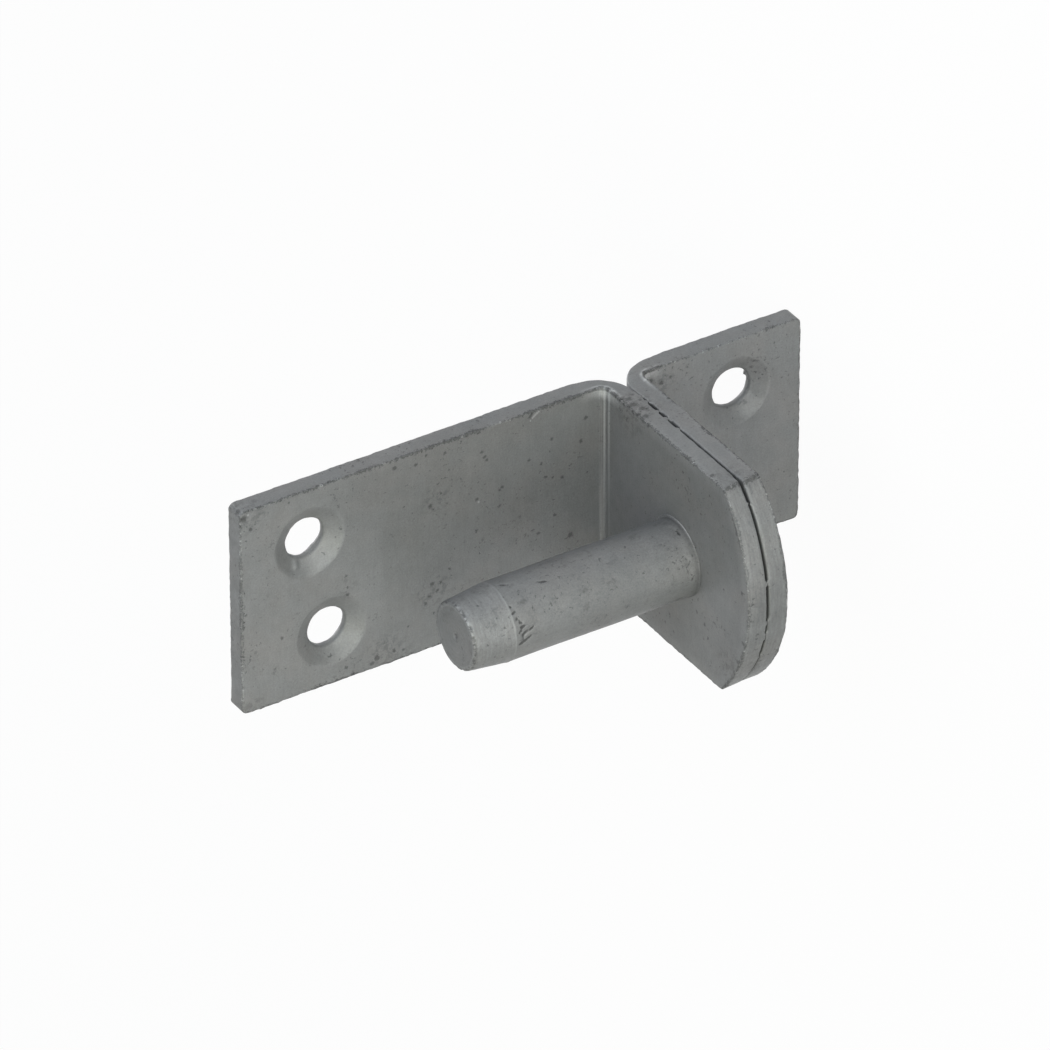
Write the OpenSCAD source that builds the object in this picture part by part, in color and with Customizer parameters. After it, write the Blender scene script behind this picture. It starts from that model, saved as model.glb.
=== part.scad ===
// Hinge pin on a plate, for a gate or barn door.
// Two leaves of flat steel are folded square, laid web to web and riveted together by the pin.
// The pin stands upright along Z. The back of the plate faces +Y and lies on the post.
// The origin is on the pin's axis, at the top face of the upper web, where a strap's eye rests.

/* [Strip] */
// Width of both leaves
strip_w = 38; // [36:0.5:50]
// Thickness of both leaves
strip_t = 3.5; // [2.5:0.1:5]
// Inner radius of the folds, which a sharp press tool leaves
fold_in_r = 1; // [0.5:0.1:3]
// Outer radius of the folds, where the strip is thinned
fold_out_r = 6.5; // [4:0.1:8]
// Rounding of the plate's free corners
corner_r = 1; // [0.5:0.1:4]

/* [Plate] */
// Seam between the leaves to the plate's upper end
upper_h = 70; // [58:0.5:120]
// Seam between the leaves to the plate's lower end
lower_h = 33.2; // [28:0.2:60]

/* [Webs] */
// Back of the plate to the tip of the upper web
upper_out = 45; // [42:0.5:60]
// Back of the plate to the tip of the lower web
lower_out = 45.5; // [42:0.5:60]
// Radius of the upper web's rounded end
upper_end_r = 27.5; // [26:0.5:36]
// Radius of the lower web's rounded end
lower_end_r = 25.5; // [25.5:0.5:36]

/* [Screw holes] */
// Diameter of the screw holes
hole_d = 7; // [4:0.1:8]
// Depth of the countersinks
sink_depth = 1.6; // [1:0.1:2]
// Included angle of the countersinks
sink_angle = 120; // [82:1:125]
// Long edges of the plate to the holes' axes
hole_edge = 10; // [8.5:0.1:10.5]
// Upper end of the plate to the nearest hole's axis
upper_hole_end = 12.6; // [9:0.1:20]
// How much further from that end the second hole is
hole_step = 3.8; // [0:0.1:12]
// Lower end of the plate to the lower hole's axis
lower_hole_end = 12; // [9:0.1:15]

/* [Hinge pin] */
// Diameter of the pin
pin_d = 13; // [10:0.1:16]
// Length of the pin above the upper web
pin_len = 41; // [25:0.5:56]
// Length of the tapered lead, part of the pin's length
lead_len = 7.2; // [3:0.1:12]
// How much the radius shrinks over the lead
lead_drop = 0.8; // [0.3:0.1:2]
// Back of the plate to the pin's axis
pin_out = 25; // [19:0.5:28]
// How far the pin's axis lies off the middle of the strip
pin_side = 0.9; // [-2:0.1:2]
// Width of the shoulder that stands on the upper web
shoulder_w = 2; // [1:0.1:3]
// Clearance between the tenon and its hole in the webs
tenon_gap = 0.1; // [0.05:0.05:0.3]
// Width of the rivet head past the tenon
head_over = 2; // [1:0.1:3]
// Height of the rivet head
head_h = 1.8; // [1:0.1:3]

/* [Hidden] */
$fn = 96;

overcut = 1;
zinc_leaf = [0.46, 0.47, 0.47];
zinc_pin = [0.52, 0.53, 0.53];

grip = 2 * strip_t;
sink_slope = tan(sink_angle / 2);
pin_r = pin_d / 2;
tip_r = pin_r - lead_drop;
tenon_r = pin_r - shoulder_w;
head_r = tenon_r + head_over;
dome_r = (pow(head_r, 2) + pow(head_h, 2)) / (2 * head_h);

// Rectangle from the origin with the corner at the origin rounded
module corner_block(w, h, r) {
    translate([r, 0]) square([w - r, h]);
    translate([0, r]) square([w, h - r]);
    translate([r, r]) circle(r);
}

// Folded strip seen from the side: X runs out from the wall and Y along the plate
module fold_section(out, h) {
    difference() {
        corner_block(out, h, fold_out_r);
        translate([strip_t, strip_t]) corner_block(out, h, fold_in_r);
    }
}

// Strip seen from above, with the web's rounded end towards -Y
module web_outline(out, end_r) {
    straight = out - end_r;
    intersection() {
        translate([-strip_w / 2, -out]) square([strip_w, out]);
        union() {
            translate([0, -straight]) circle(end_r);
            translate([-strip_w / 2, -straight]) square([strip_w, straight]);
        }
    }
}

// Plate seen from the front, with its free corners rounded
module plate_outline(h) {
    inner_w = strip_w - 2 * corner_r;
    translate([-strip_w / 2, 0]) square([strip_w, h - corner_r]);
    translate([-inner_w / 2, 0]) square([inner_w, h]);
    for (side = [-1, 1]) translate([side * inner_w / 2, h - corner_r]) circle(corner_r);
}

// Leaf without holes: back of the plate at y = 0, seam face of the web at z = 0
module bare_leaf(out, end_r, h) {
    intersection() {
        rotate([90, 0, -90]) linear_extrude(strip_w, center = true) fold_section(out, h);
        linear_extrude(h) web_outline(out, end_r);
        rotate([90, 0, 0]) linear_extrude(out) plate_outline(h);
    }
}

// Countersunk hole through the plate, from its back at y = 0 to its front
module screw_hole() {
    hole_r = hole_d / 2;
    cone_h = sink_depth + overcut;
    rotate([90, 0, 0]) {
        translate([0, 0, -overcut]) cylinder(r = hole_r, h = strip_t + 2 * overcut);
        translate([0, 0, strip_t - sink_depth])
            cylinder(r1 = hole_r, r2 = hole_r + cone_h * sink_slope, h = cone_h);
    }
}

// Leaf with its screw holes, each given as [side, height above the seam]
module leaf(out, end_r, h, holes) {
    difference() {
        bare_leaf(out, end_r, h);
        for (hole = holes)
            translate([hole[0] * (strip_w / 2 - hole_edge), 0, hole[1]]) screw_hole();
    }
}

// Hole through both webs for the tenon
module tenon_hole() {
    translate([0, 0, -grip - overcut]) cylinder(r = tenon_r + tenon_gap, h = grip + 2 * overcut);
}

module upper_leaf() {
    top_hole = upper_h - upper_hole_end;
    color(zinc_leaf)
        difference() {
            translate([pin_side, pin_out, -strip_t])
                leaf(upper_out, upper_end_r, upper_h, [[1, top_hole], [-1, top_hole - hole_step]]);
            tenon_hole();
        }
}

module lower_leaf() {
    color(zinc_leaf)
        difference() {
            translate([pin_side, pin_out, -strip_t])
                mirror([0, 0, 1])
                    leaf(lower_out, lower_end_r, lower_h, [[1, lower_h - lower_hole_end]]);
            tenon_hole();
        }
}

// Half section of the pin: rivet head, tenon, shoulder, shank and lead
module pin_profile() {
    polygon([
        [0, -grip - head_h / 2],
        [tenon_r, -grip - head_h / 2],
        [tenon_r, 0],
        [pin_r, 0],
        [pin_r, pin_len - lead_len],
        [tip_r, pin_len],
        [0, pin_len]
    ]);
    intersection() {
        translate([0, dome_r - grip - head_h]) circle(dome_r);
        translate([0, -grip - head_h]) square([head_r, head_h]);
    }
}

module hinge_pin() {
    color(zinc_pin) rotate_extrude() pin_profile();
}

upper_leaf();
lower_leaf();
hinge_pin();
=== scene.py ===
# %% [markdown]
# # A hinge pin on its plate
# The real part is the fixed half of a gate hinge. Two strips of flat steel are each folded square,
# laid web to web and held together by the riveted foot of a round pin. Then the whole part is
# dipped in zinc, which sets to a dull, faintly mottled grey.
#
# The packed CAD model rules every size. Blender adds what a solid modeller leaves out: worn
# arrises, the dark seam between the strips, the lines left in the fold, and the zinc itself.

# %% Start from the packed frame
import math
import bmesh
import bpy
import numpy as np
from mathutils import Matrix, Vector
from mathutils.geometry import delaunay_2d_cdt


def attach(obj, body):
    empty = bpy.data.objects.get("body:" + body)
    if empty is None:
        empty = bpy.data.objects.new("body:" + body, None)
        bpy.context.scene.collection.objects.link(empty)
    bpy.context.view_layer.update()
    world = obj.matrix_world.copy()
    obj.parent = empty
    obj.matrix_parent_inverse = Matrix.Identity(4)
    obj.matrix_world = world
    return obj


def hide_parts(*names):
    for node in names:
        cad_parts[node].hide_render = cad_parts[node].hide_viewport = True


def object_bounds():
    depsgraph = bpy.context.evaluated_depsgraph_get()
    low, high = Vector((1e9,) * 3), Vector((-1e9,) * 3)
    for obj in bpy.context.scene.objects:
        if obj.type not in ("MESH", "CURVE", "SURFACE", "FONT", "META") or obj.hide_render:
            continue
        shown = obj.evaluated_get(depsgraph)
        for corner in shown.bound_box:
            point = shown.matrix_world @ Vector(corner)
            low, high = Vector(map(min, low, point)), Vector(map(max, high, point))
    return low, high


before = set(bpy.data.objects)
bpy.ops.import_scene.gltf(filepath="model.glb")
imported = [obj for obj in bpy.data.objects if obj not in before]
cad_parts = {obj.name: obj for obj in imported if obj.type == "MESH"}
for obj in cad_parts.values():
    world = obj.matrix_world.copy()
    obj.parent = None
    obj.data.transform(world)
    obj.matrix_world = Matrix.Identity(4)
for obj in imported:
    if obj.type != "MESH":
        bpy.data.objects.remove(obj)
cad_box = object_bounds()
print("CAD box:", [list(corner) for corner in cad_box])

# %% [markdown]
# ## Sizes
# These are the named sizes of the CAD source, in millimetres, because a maker thinks in
# millimetres. They could be measured on the loaded solids, but then every number would hide in a
# search for the right face. Each mesh is scaled to metres once, at the very end. The frame is the
# CAD's own: Z runs along the pin, the back of the plate faces +Y, and the pin stands at the origin.

# %% Sizes in millimetres
MM = 0.001
STRIP_W, STRIP_T = 38.0, 3.5
FOLD_IN, FOLD_OUT = 1.0, 6.5
PIN_OUT, PIN_SIDE, PIN_R = 25.0, 0.9, 6.5
PIN_LEN, LEAD_LEN, LEAD_DROP = 41.0, 7.2, 0.8
TENON_R, TENON_GAP = 4.5, 0.1
HEAD_R, HEAD_H = 6.5, 1.8
HOLE_R, HOLE_EDGE, SINK_DEPTH, SINK_ANGLE = 3.5, 10.0, 1.6, 120.0
HOLE_SIDE = STRIP_W / 2 - HOLE_EDGE
SINK_SLOPE = math.tan(math.radians(SINK_ANGLE / 2))
SINK_R = HOLE_R + SINK_DEPTH * SINK_SLOPE
SEAM_Z = -STRIP_T
print("countersinks are", round(2 * SINK_R, 2), "mm wide")

# %% [markdown]
# Both strips share those sizes, and a short table holds what differs. `plate` is the plate's
# height from the seam. `tip` is the web's reach from the wall and `end_r` the radius of its rounded
# end, given for the face inside the fold and for the face at the seam, because the tool cut the two
# a little differently. `holes` lists each hole's way from the plate's end and its side, and `lip`
# is the rounding of the arris that lies at the seam.

# %% What differs from strip to strip
UPPER = {
    "plate": 70.0, "tip": (45.0, 45.25), "end_r": (27.56, 26.0),
    "holes": [(12.6, 1), (16.4, -1)], "lip": 0.08,
}
LOWER = {
    "plate": 33.2, "tip": (45.5, 45.25), "end_r": (25.3, 26.0),
    "holes": [(12.0, 1)], "lip": 0.26,
}
print("the whole plate is", round(UPPER["plate"] + LOWER["plate"], 1), "mm high")

# %% [markdown]
# ## The camera
# In the photograph the part lies on one long edge, seen from afar through a very long lens. The
# camera could be pushed about by hand until the picture fits, but nobody could repeat that. So it
# is given as so many degrees round and so many up, in the lying pose, and one matrix turns that
# pose into the upright CAD frame.

# %% Camera at the photograph's angle
ROUND, UP, TILT = -32.3312, 33.9075, -0.0705
LENS, SENSOR, DISTANCE = 501.64, 36, 2.27718
CLIP_NEAR, CLIP_FAR = 0.1, 50
AIM = Vector((-0.0212788, -0.0085596, 0.0211004))
LYING_TO_UPRIGHT = Matrix(((0, 0, 1), (0, 1, 0), (-1, 0, 0)))
LYING_ORIGIN = Vector((-0.0181, 0.025, -0.0035))

azimuth, elevation, tilt = (math.radians(angle) for angle in (ROUND, UP, TILT))
out = math.cos(elevation)
back = Vector((math.sin(azimuth) * out, -math.cos(azimuth) * out, math.sin(elevation)))
level = Vector((math.cos(azimuth), math.sin(azimuth), 0))
right = math.cos(tilt) * level + math.sin(tilt) * back.cross(level)
axes = [LYING_TO_UPRIGHT @ v for v in (right, back.cross(right), back)]
aim = LYING_TO_UPRIGHT @ AIM + LYING_ORIGIN

camera = bpy.data.objects.new("Camera", bpy.data.cameras.new("Camera"))
bpy.context.scene.collection.objects.link(camera)
camera.data.lens, camera.data.sensor_width = LENS, SENSOR
camera.data.clip_start, camera.data.clip_end = CLIP_NEAR, CLIP_FAR
facing = Matrix(axes).transposed().to_4x4()
camera.matrix_world = Matrix.Translation(aim + DISTANCE * axes[2]) @ facing
bpy.context.scene.camera = camera
print("camera stands at", [round(v, 4) for v in camera.location])

# %% [markdown]
# ## A small language for shader maths
# Node trees are tedious to wire by hand. `Wire` holds one socket and knows how to add, subtract
# and multiply, so a finish can be written down like a sum. Every other node comes from the one
# method `node`, which takes the kind of node, its settings and what goes into its sockets.

# %% The Wire class
class Wire:
    """One output socket of a node tree, ready for sums."""

    def __init__(self, tree, socket=None):
        self.tree, self.socket = tree, socket

    def node(self, kind, settings=None, inputs=None, out=0):
        """A new node: its settings come first, then values or wires for its sockets."""
        made = self.tree.nodes.new(kind)
        for name, value in (settings or {}).items():
            setattr(made, name, value)
        for name, value in (inputs or {}).items():
            if isinstance(value, Wire):
                self.tree.links.new(value.socket, made.inputs[name])
            else:
                made.inputs[name].default_value = value
        return Wire(self.tree, made.outputs[out])

    def also(self, out):
        """Another output of the same node."""
        return Wire(self.tree, self.socket.node.outputs[out])

    def math(self, operation, *values):
        return self.node("ShaderNodeMath", {"operation": operation}, dict(enumerate(values)))

    def vector(self, operation, *values, out=0):
        settings, ends = {"operation": operation}, dict(enumerate(values))
        return self.node("ShaderNodeVectorMath", settings, ends, out)

    def __add__(self, other):
        return self.math("ADD", self, other)

    def __sub__(self, other):
        return self.math("SUBTRACT", self, other)

    def __rsub__(self, other):
        return self.math("SUBTRACT", other, self)

    def __mul__(self, other):
        return self.math("MULTIPLY", self, other)

    def __pow__(self, other):
        return self.math("POWER", self, other)

    __radd__, __rmul__ = __add__, __mul__

    def step(self, low, high):
        """0 below low, 1 above high, and a soft rise between them."""
        settings = {"interpolation_type": "SMOOTHSTEP"}
        ends = {"Value": self, "From Min": low, "From Max": high}
        return self.node("ShaderNodeMapRange", settings, ends)

    def attribute(self, name):
        return self.node("ShaderNodeAttribute", {"attribute_name": name}, out="Fac")

    def noise(self, where, per_mm, detail=2.0, rough=0.5):
        ends = {"Vector": where, "Scale": per_mm, "Detail": detail, "Roughness": rough}
        return self.node("ShaderNodeTexNoise", {}, ends)

    def tint(self, colour):
        """This wire as a grey, multiplied by a colour or by a wire that holds one."""
        settings = {"data_type": "RGBA", "blend_type": "MULTIPLY"}
        return self.node("ShaderNodeMix", settings, {0: 1.0, 6: self, 7: colour}, out=2)


print("a wire knows:", ", ".join(name for name in vars(Wire) if not name.startswith("_")))

# %% [markdown]
# ## Floor and light
# A plain white floor and an even white surround show the part as a catalogue does. Stronger lamps
# would whiten the floor too, but they would flood the part from below. So the camera and the metal
# see pure white there, by way of Light Path, while light that scatters off the floor stays at the
# lamps' own level. The floor keeps a soft shadow near the part.

# %% From a shader to its output
WHITE = (1, 1, 1, 1)

def first_wire(owner):
    """Empties the node tree of a material or a world, and gives a wire to start from."""
    owner.use_nodes = True
    owner.node_tree.nodes.clear()
    return Wire(owner.node_tree)


def show(shader, kind="ShaderNodeOutputMaterial"):
    """Leads a finished shader to the output of its tree."""
    output = shader.tree.nodes.new(kind)
    shader.tree.links.new(shader.socket, output.inputs["Surface"])
    print(len(shader.tree.nodes), "nodes lead to the", output.name)


def seen(wire):
    """1 for a ray from the camera, straight or off metal or through glass, and 0 for others."""
    rays = ("Is Camera Ray", "Is Glossy Ray", "Is Transmission Ray")
    camera_ray, glossy, through = (wire.node("ShaderNodeLightPath", out=ray) for ray in rays)
    return camera_ray + glossy + through


# %% [markdown]
# The floor mixes two shaders: white paper, which takes the shadow, and a plain white glow, which
# the camera and the metal see. Near the part a small share of the paper stays visible.

# %% A white floor that keeps its shadow
FLOOR_SIZE = 60.0
SHADOW_SHARE, SHADOW_REACH = 0.05, (0.2, 1.2)
PAPER_GREY, PAPER_FLECKS = 0.88, 0.02

def white_floor():
    material = bpy.data.materials.new("white_floor")
    wire = first_wire(material)
    spot = wire.node("ShaderNodeTexCoord", out="Object")
    near = 1 - wire.vector("LENGTH", spot, out="Value").step(*SHADOW_REACH)
    grey = (wire.noise(spot, 3.0) * PAPER_FLECKS + PAPER_GREY).tint(WHITE)
    paper = wire.node("ShaderNodeBsdfDiffuse", {}, {"Color": grey})
    glow = wire.node("ShaderNodeEmission", {}, {"Color": WHITE, "Strength": 1.0})
    plain = seen(wire) * (1 - near * SHADOW_SHARE)
    show(wire.node("ShaderNodeMixShader", {}, {0: plain, 1: paper, 2: glow}))
    return material


bpy.ops.mesh.primitive_plane_add(size=FLOOR_SIZE, location=(0, 0, cad_box[0].z))
floor = bpy.context.object
floor.name = "Floor"
floor.data.materials.append(white_floor())
print("floor lies at z =", round(floor.location.z, 4))

# %% [markdown]
# The surround is a world shader, because a picture of a room would show in the metal and a real
# tent would need walls. It is white where the camera or the metal looks at it, and much softer and
# cooler for light that scatters.

# %% A white surround
WORLD_FILL = 0.16
FILL_COLOUR = (0.83, 0.885, 0.97, 1)

world = bpy.data.worlds.new("Surround")
bpy.context.scene.world = world
sky = first_wire(world)
fill = sky.node("ShaderNodeBackground", {}, {"Color": FILL_COLOUR, "Strength": WORLD_FILL})
white = sky.node("ShaderNodeBackground", {}, {"Color": WHITE, "Strength": 1.0})
looks = sky.node("ShaderNodeMixShader", {}, {0: seen(sky), 1: fill, 2: white})
show(looks, "ShaderNodeOutputWorld")

# %% [markdown]
# Large lamps give each side of the part its own share of light, as the walls of a photographer's
# tent do. One big dome would be simpler, but every side would then be equally bright. In the
# photograph the long top edge is a little cooler than the rest, so that lamp is too.

# %% Soft lamps
LAMP_DISTANCE = 1.1

def soft_lamp(name, direction, size, watts, colour=(1, 1, 1)):
    """A lamp of that width and height that shines on the part from one direction."""
    lamp = bpy.data.lights.new(name, "AREA")
    lamp.shape, lamp.energy, lamp.color = "RECTANGLE", watts, colour
    lamp.size, lamp.size_y = size
    holder = bpy.data.objects.new(name, lamp)
    bpy.context.scene.collection.objects.link(holder)
    towards = Vector(direction).normalized()
    holder.location = towards * LAMP_DISTANCE
    holder.rotation_mode = "QUATERNION"
    holder.rotation_quaternion = towards.to_track_quat("Z", "Y")
    holder.visible_camera = False
    return holder


lamps = [
    soft_lamp("Front_lamp", (0.6, -0.9, 0.1), (1.0, 1.0), 6.6, (0.98, 1.0, 0.9)),
    soft_lamp("End_lamp", (0.0, -0.75, 0.8), (1.0, 1.0), 5.9, (1.0, 1.0, 0.79)),
    soft_lamp("Edge_lamp", (0.8, -0.2, 0.8), (1.4, 1.4), 9.5, (0.81, 0.86, 1.0)),
    soft_lamp("Low_strip", (0.0, -1.0, 0.05), (1.0, 0.12), 3.4),
    soft_lamp("Rear_lamp", (0.1, 1.0, 0.08), (0.8, 0.3), 4.0),
]
print("lamps:", [lamp.name for lamp in lamps])

# %% [markdown]
# ## Folding a strip
# A press folds the real strip over a sharp edge, so it is sharp inside, wide outside and thinner
# there. A bend modifier would keep the thickness. So the strip is shaped flat, where `way` runs
# from the plate's end to the tip of the web, `across` over its width, and `depth` goes in from the
# face that ends up inside the fold. Each point then moves to its place on a straight line between
# the fold's inner and its outer curve. From `EVEN` millimetres off the corner, the strip has its
# even thickness again.

# %% From the flat strip to the folded one
EVEN = 12.0

def stations(leaf):
    """Where along the strip its stretches begin: plate, easing, fold, easing, web."""
    ease = EVEN - (STRIP_T + FOLD_IN + FOLD_OUT) / 2
    fold = math.pi / 4 * (FOLD_IN + FOLD_OUT)
    return np.cumsum([0, leaf["plate"] - EVEN, ease, fold, ease])


def section(leaf, way, offset, radius):
    """Reach from the wall and rise along the plate of one face of the strip."""
    s = stations(leaf)
    middle = offset + radius
    share = (EVEN - middle) / (s[2] - s[1])
    rise = np.where(way < s[1], EVEN + s[1] - way, EVEN - (way - s[1]) * share)
    reach = np.where(way > s[4], EVEN + way - s[4], middle + (way - s[3]) * share)
    turn = np.clip((way - s[2]) / (s[3] - s[2]), 0, 1) * np.pi / 2
    reach = np.where(way < s[3], middle - radius * np.cos(turn), reach)
    rise = np.where(way > s[2], middle - radius * np.sin(turn), rise)
    return reach, rise


def fold_up(leaf, flat, up):
    """Flat points (way, across, depth) as points of the upright part."""
    way, across, depth = flat.T
    inner = np.array(section(leaf, way, STRIP_T, FOLD_IN))
    outer = np.array(section(leaf, way, 0.0, FOLD_OUT))
    reach, rise = inner + (outer - inner) * depth / STRIP_T
    return np.stack([PIN_SIDE + across, PIN_OUT - reach, SEAM_Z + up * rise], axis=1)


for name, leaf in (("upper", UPPER), ("lower", LOWER)):
    print(name, "leaf: stations at", np.round(stations(leaf), 2), "mm")

# %% [markdown]
# ## Relief made of waves
# Nothing on a pressed and dipped part is dead flat or straight. It could be sculpted, but a
# handful of seeded sine waves makes a soft relief that is the same on every run and costs less.

# %% Seeded waves
def waves(seed, size, count=14):
    """A function that gives soft relief of about -1 to 1 with bumps of that size."""
    rng = np.random.default_rng(seed)
    ways = rng.normal(size=(count, 3))
    lengths = np.linalg.norm(ways, axis=1)[:, None]
    ways *= 2 * np.pi / size * rng.uniform(0.6, 1.5, (count, 1)) / lengths
    start = rng.uniform(0, 2 * np.pi, count)
    return lambda points: np.sin(points @ ways.T + start).sum(axis=1) / math.sqrt(count)


def bump(x, width):
    return np.exp(-((x / width) ** 2))


sample = waves(1, 10.0)(np.arange(3000.0).reshape(-1, 3))
print("sampled waves run from", sample.min().round(2), "to", sample.max().round(2))

# %% [markdown]
# ## The outline of a strip
# On the real strip the fold makes the inner edges bulge and draws the outer edges in, and the tool
# that rounded the web cut each face to a slightly different arc. One outline pushed straight
# through would lose that. So it is drawn twice with the same number of points, once for each face.

# %% Edges of the strip in and beside the fold
HALF_W = 18.87
BULGE, BULGE_SPAN = 0.12, 3.0
WAIST, WAIST_SPAN = 0.34, 4.2
CORNER = 1.1
STEP = 0.45
FOLD_POINTS, WEB_POINTS = 40, 112

def half_width(leaf, way, face):
    s = stations(leaf)
    off = way - (s[2] + s[3]) / 2
    if face == 0:
        return HALF_W + BULGE * bump(off, BULGE_SPAN)
    return HALF_W - WAIST * bump(off, WAIST_SPAN)


def side_line(leaf, corner_way, face):
    """Points of one long edge: the plate, the fold with closer points, and the web."""
    s = stations(leaf)
    way = np.concatenate([
        np.arange(CORNER + STEP, s[2] - STEP, STEP),
        np.linspace(s[2], s[3], FOLD_POINTS),
        s[3] + np.linspace(0, 1, WEB_POINTS)[1:-1] * (corner_way - s[3]),
    ])
    return way, half_width(leaf, way, face)


widths = [half_width(UPPER, stations(UPPER)[2:4].mean(), face) * 2 for face in (0, 1)]
print("strip in the fold:", np.round(widths, 2), "mm wide, and", 2 * HALF_W, "mm elsewhere")

# %% [markdown]
# The rest of an outline is the straight end with its two small corners, and the arc that rounds the
# web. A curve object could draw it, but its points could not be matched with the other face's. The
# corners between the long edges and the arc are eased a little, because the zinc rounds them.

# %% Outline of one face
END_POINTS, CORNER_POINTS, ARC_POINTS = 84, 7, 150
SOFT_CORNER, SOFT_ROUNDS = 0.9, 3

def outline(leaf, face):
    """Closed line of flat points round one face: end, side, rounded end, side."""
    tip, radius = leaf["tip"][face], leaf["end_r"][face]
    middle = stations(leaf)[4] + tip - radius - EVEN
    spread = math.asin(HALF_W / radius)
    corner_way = middle + radius * math.cos(spread)
    end = np.linspace(-HALF_W + CORNER, HALF_W - CORNER, END_POINTS)[1:-1]
    quarter = np.linspace(0, np.pi / 2, CORNER_POINTS)
    corner = CORNER * (1 - np.cos(quarter)), HALF_W - CORNER * (1 - np.sin(quarter))
    side = side_line(leaf, corner_way, face)
    arc = np.linspace(spread, -spread, ARC_POINTS)
    pieces = [(0 * end, end), corner, side, (middle + radius * np.cos(arc), radius * np.sin(arc))]
    pieces += [(way[::-1], -across[::-1]) for way, across in (side, corner)]
    loop = np.concatenate([np.stack(piece, axis=1) for piece in pieces])
    near = np.hypot(loop[:, 0] - corner_way, np.abs(loop[:, 1]) - HALF_W) < SOFT_CORNER
    for _ in range(SOFT_ROUNDS):
        mean = (np.roll(loop, 1, axis=0) + np.roll(loop, -1, axis=0)) / 2
        loop = np.where(near[:, None], (loop + mean) / 2, loop)
    return loop


def outward(loop):
    """The direction, at each point of a closed line, that leads out of it."""
    along = np.roll(loop, -1, axis=0) - np.roll(loop, 1, axis=0)
    along /= np.linalg.norm(along, axis=1)[:, None]
    return np.stack([-along[:, 1], along[:, 0]], axis=1)


print("upper outline has", len(outline(UPPER, 0)), "points on each face")

# %% [markdown]
# ## The seam
# Web lies on web, and zinc has closed the joint between them in places. What is left is a fine dark
# groove: bold dashes near the fold, then a thin line round the rounded end. Painting it dark would
# not hold from other sides, so the arrises really part there. The table says from where to where,
# counted from the wall along the edge that is seen first, and how wide the groove stands open.

# %% How far the seam is open
OPEN_SEAM = [
    (9.0, 10.1, 0.3), (10.9, 13.7, 0.6), (14.2, 16.1, 0.6), (16.9, 19.7, 0.58), (20.2, 36.0, 0.4),
    (35.5, 41.0, 0.6), (41.0, 53.8, 0.46), (54.5, 61.0, 0.42), (61.7, 63.6, 0.32),
    (64.8, 69.0, 0.4), (69.4, 78.0, 0.28), (79.5, 104.0, 0.2), (106.0, 112.0, 0.2),
]
SEALED_GAP, GAP_EASE = 0.03, 0.15

def seam_gap(place):
    gap = np.full_like(place, SEALED_GAP)
    for start, stop, size in OPEN_SEAM:
        begun, left = (place - start) / GAP_EASE, (stop - place) / GAP_EASE
        gap = np.maximum(gap, size * np.clip(begun, 0, 1) * np.clip(left, 0, 1))
    return gap


print("seam stands open up to", seam_gap(np.arange(0, 120, 0.1)).max(), "mm")

# %% [markdown]
# ## The narrow wall of a strip
# The edge of a real strip is sheared, then softened by the zinc: small uneven radii at both arrises
# and a nearly flat wall between them. A bevel modifier gives one radius all round. Here the wall is
# a stack of rings whose radii wander, grow in the fold and shrink at the seam. First each point of
# the edge has to know where it lies.

# %% Where the points of the edge lie
SEAM_START, SEAM_EASE = 7.5, 2.0
BEYOND_FOLD = 30

def edge_places(leaf, front):
    """How crosswise the edge runs, whether on the web, way from the wall, way from a corner."""
    s = stations(leaf)
    way, across = front.T
    web = way > s[3]
    cut = np.clip((np.abs(outward(front)[:, 0]) - 0.3) / 0.2, 0, 1)
    length = np.cumsum(np.linalg.norm(np.roll(front, -1, axis=0) - front, axis=1))
    first = np.argmax((across > 0) & (cut > 0.5) & web)
    last = len(cut) - 1 - np.argmax(((across < 0) & (cut > 0.5) & web)[::-1])
    place = way - s[4] + EVEN
    place = np.where(length >= length[first], place[first] + length - length[first], place)
    ends = np.minimum(np.abs(length - length[first]), np.abs(length - length[last]))
    return cut, web, place, ends


def at_depth(points, depth):
    """Flat points (way, across) with a depth, which is one number or one for each."""
    return np.column_stack([points, np.broadcast_to(depth, len(points))])


edge_way = edge_places(UPPER, outline(UPPER, 0))[2]
print("the upper web's edge ends", edge_way.max().round(1), "mm from the wall, along the edge")

# %% [markdown]
# Each ring then gets its inset and its depth: a quarter turn over the front arris, straight down
# the wall, and a quarter turn to the back. At the seam the rear arris is small and stands open by
# the gap. Slow and fast waves together make the zinc's uneven build-up.

# %% Rings round the edge
FRONT_ARRIS, REAR_ARRIS, FOLD_ARRIS = 0.24, 0.3, 0.34
ARRIS_TURNS = np.radians([0, 22.5, 45, 67.5, 90])
WALL_PARTS = (0.2, 0.4, 0.6, 0.8)

def edge_profile(wall, front_r, rear_r, gap):
    """How far each ring stands in from the outline, and its depth in the strip."""
    rows = [(wall + front_r * (1 - np.sin(q)), front_r * (1 - np.cos(q))) for q in ARRIS_TURNS]
    span, foot = STRIP_T - front_r - rear_r, STRIP_T - gap / 2
    rows += [(wall, front_r + span * part) for part in WALL_PARTS]
    for q in ARRIS_TURNS:
        rows.append((wall + rear_r * (1 - np.cos(q)), foot - rear_r * (1 - np.sin(q))))
    return rows


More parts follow.
